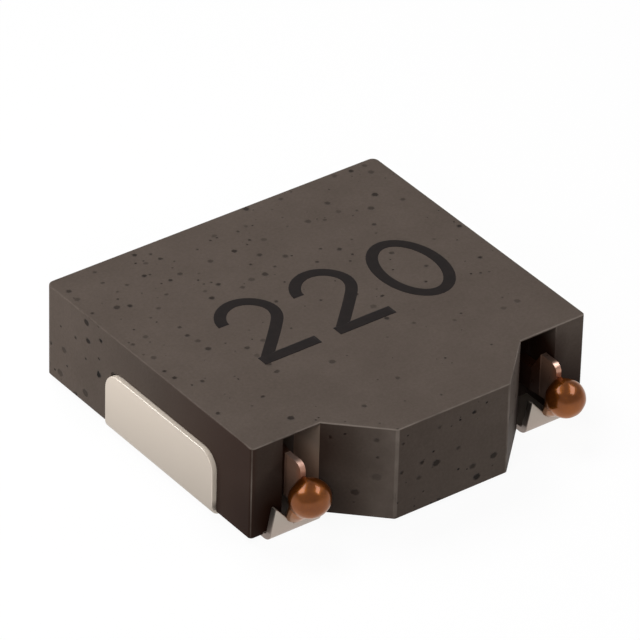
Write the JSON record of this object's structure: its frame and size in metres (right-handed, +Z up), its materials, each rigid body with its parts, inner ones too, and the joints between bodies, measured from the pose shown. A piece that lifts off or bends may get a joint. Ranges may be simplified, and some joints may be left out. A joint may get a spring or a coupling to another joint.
{
  "type": "shielded smd inductor",
  "caption": "Low rectangular power inductor: a dark pressed-powder block with a tapered nose, folded side terminals and wire ends welded into beads.",
  "frame": {"origin": "middle of the outline, on the plane of the circuit board", "axes": "+X towards the right-hand terminal, +Y away from the nose, +Z up from the board"},
  "size_m": [0.0054, 0.0052, 0.0014],
  "materials": {
    "pressed_powder": "matte, fine-grained, dark warm grey",
    "enamelled_wire": "glossy enamel on copper",
    "tinned_copper": "dull satin tin",
    "weld_copper": "glossy, dark, heat-tinted"
  },
  "bodies": {
    "root": {"core_body": "pressed_powder", "coil_winding": "enamelled_wire", "terminal_left": "tinned_copper", "terminal_right": "tinned_copper", "weld_bead_left": "weld_copper", "weld_bead_right": "weld_copper"}
  },
  "joints": []
}
